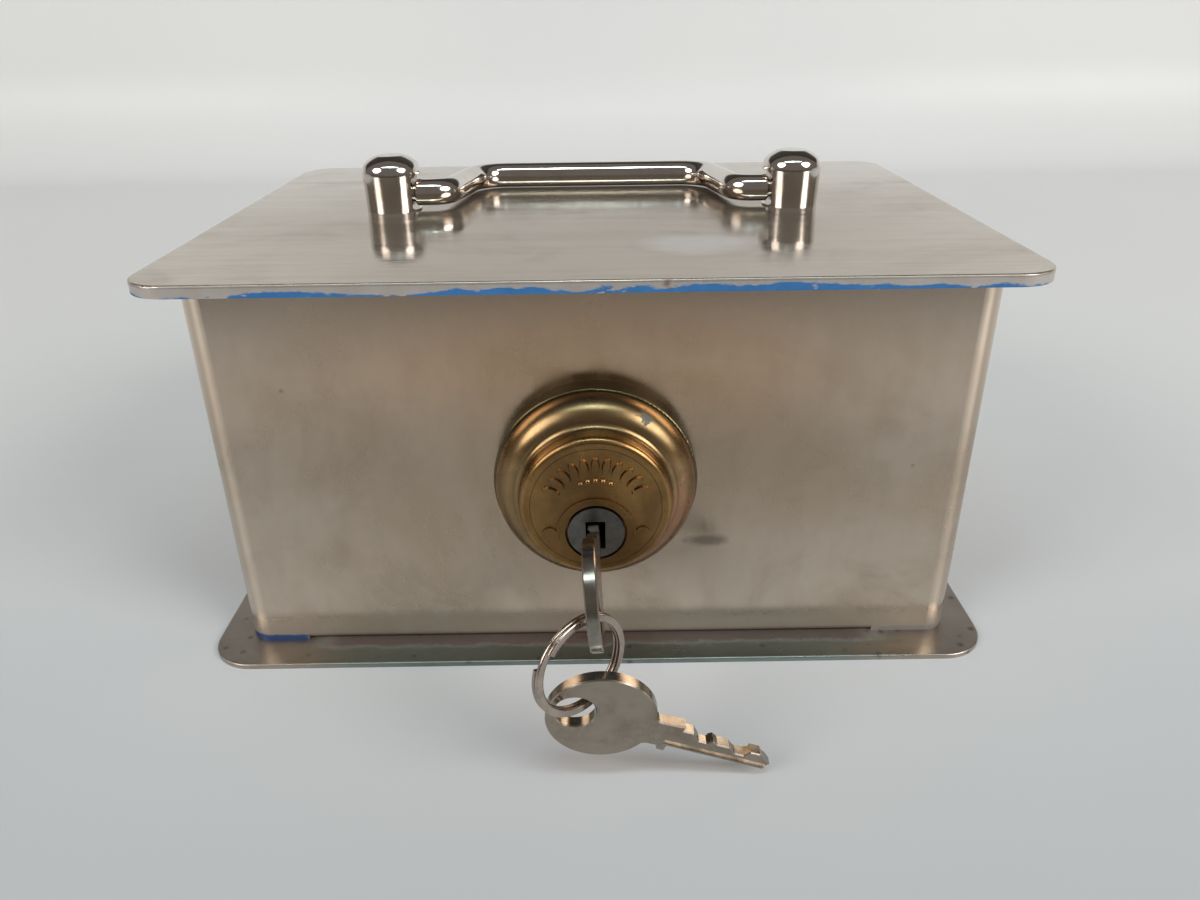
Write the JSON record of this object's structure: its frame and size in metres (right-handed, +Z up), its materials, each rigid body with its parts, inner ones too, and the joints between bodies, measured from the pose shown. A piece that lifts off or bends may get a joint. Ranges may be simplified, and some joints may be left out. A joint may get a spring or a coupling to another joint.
{
  "type": "toy safe coin bank",
  "caption": "Sheet-metal money box on a base plate: rear-hinged lid with coin slot and folding bail handle, brass rosette pin lock with tongue, key and spare key on a split ring.",
  "frame": {"origin": "centre of the base plate's underside, which stands on the table", "axes": "+X to the right seen from the lock side, +Y towards the hinge at the back, +Z up"},
  "size_m": [0.121, 0.119, 0.0691],
  "materials": {
    "base_steel": "dull satin, tarnished",
    "body_steel": "satin nickel-plated, cloudy tarnish",
    "lid_steel": "brushed nickel-plated, worn, trace of blue paint on the edge",
    "inner_steel": "plain rolled steel",
    "chrome": "mirror plated",
    "fastener_zinc": "zinc plated",
    "lock_brass": "aged satin brass",
    "plug_steel": "turned",
    "spring_steel": "drawn wire",
    "key_nickel": "worn nickel plate over brass",
    "ring_steel": "bright drawn wire"
  },
  "bodies": {
    "case": {"base_plate": "base_steel", "body_wrap": "body_steel", "hinge_body_leaf": "inner_steel", "hinge_rivets": "fastener_zinc", "hinge_pin": "fastener_zinc", "lock_rosette": "lock_brass", "lock_cylinder": "lock_brass", "lock_nut": "lock_brass", "driver_pins": "lock_brass", "pin_springs": "spring_steel", "chamber_caps": "lock_brass"},
    "lid": {"lid_plate": "lid_steel", "coin_guard": "inner_steel", "lid_keeper": "inner_steel", "hinge_lid_leaf": "inner_steel", "handle_post_left": "chrome", "handle_post_right": "chrome", "post_washers": "fastener_zinc", "post_nuts": "fastener_zinc"},
    "handle": {"handle_bail": "chrome"},
    "plug": {"lock_plug": "plug_steel", "key_pins": "lock_brass", "stop_washer": "fastener_zinc", "lock_cam": "inner_steel", "cam_screw": "fastener_zinc"},
    "key": {"lock_key": "key_nickel"},
    "ring": {"key_ring": "ring_steel"},
    "spare": {"spare_key": "key_nickel"}
  },
  "joints": [
    {"name": "lid_hinge", "type": "hinge", "parent": "case", "child": "lid", "pos_m": [0, 0.04125, 0.05625], "axis": [-1, 0, 0], "range_deg": [0, 110]},
    {"name": "handle_swing", "type": "hinge", "parent": "lid", "child": "handle", "pos_m": [0, 0.0008, 0.0629], "axis": [1, 0, 0], "range_deg": [0, 176]},
    {"name": "plug_turn", "type": "hinge", "parent": "case", "child": "plug", "pos_m": [0, -0.0496, 0.0262], "axis": [0, -1, 0], "range_deg": [0, 180]},
    {"name": "key_slide", "type": "slide", "parent": "plug", "child": "key", "axis": [0, -1, 0], "range_m": [-0.0034, 0.02]},
    {"name": "ring_swing", "type": "hinge", "parent": "key", "child": "ring", "pos_m": [-0.0004, -0.0675, 0.0256], "axis": [-0.7014, -0.6034, 0.3794], "range_deg": [0, 30]},
    {"name": "spare_swing", "type": "hinge", "parent": "ring", "child": "spare", "pos_m": [-0.0023, -0.0695, 0.01345], "axis": [-0.752, -0.6568, 0.0558], "range_deg": [0, 30]}
  ]
}
